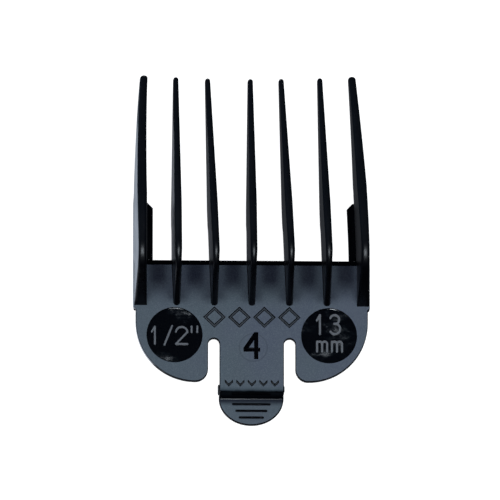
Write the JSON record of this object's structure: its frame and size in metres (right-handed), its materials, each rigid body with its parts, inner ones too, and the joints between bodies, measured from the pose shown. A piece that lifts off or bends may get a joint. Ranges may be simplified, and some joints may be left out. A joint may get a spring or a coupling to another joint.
{
  "type": "clipper guard comb",
  "caption": "Clip-on guard comb for a hair clipper: a flat deck with long ribbed teeth, side rails, sunken size discs and a flexing release tab.",
  "frame": {"origin": "middle of the blade seat, the flat underside of the deck, 8.2 mm behind the deck's front edge", "axes": "+X to the right, +Y towards the tooth tips, +Z out of the skin side, away from the blade"},
  "size_m": [0.0492, 0.0735, 0.0185],
  "materials": {
    "textured_nylon": "fine spark-eroded texture",
    "polished_nylon": "polished mould face",
    "raised_marks": "fine texture, rubbed lighter on top"
  },
  "bodies": {
    "comb_body": {"deck_plate": "textured_nylon", "tooth_2": "polished_nylon", "tooth_3": "polished_nylon", "tooth_4": "polished_nylon", "tooth_5": "polished_nylon", "tooth_6": "polished_nylon", "outer_tooth_left": "polished_nylon", "outer_tooth_right": "polished_nylon", "side_rail_left": "polished_nylon", "side_rail_right": "polished_nylon", "blade_ledge_left": "polished_nylon", "blade_ledge_right": "polished_nylon", "size_disc_left": "polished_nylon", "size_disc_right": "polished_nylon", "size_mark_inch": "raised_marks", "size_mark_metric": "raised_marks"},
    "release_tab": {"tab_plate": "textured_nylon", "tab_step": "polished_nylon", "catch_hook": "polished_nylon", "thumb_pad": "textured_nylon", "grip_bars": "polished_nylon"}
  },
  "joints": [
    {"name": "tab_flex", "type": "hinge", "parent": "comb_body", "child": "release_tab", "pos_m": [0, -0.0135, 0.0009], "axis": [-1, 0, 0], "range_deg": [-4, 10], "stiffness_Nm_per_rad": 1.4}
  ]
}
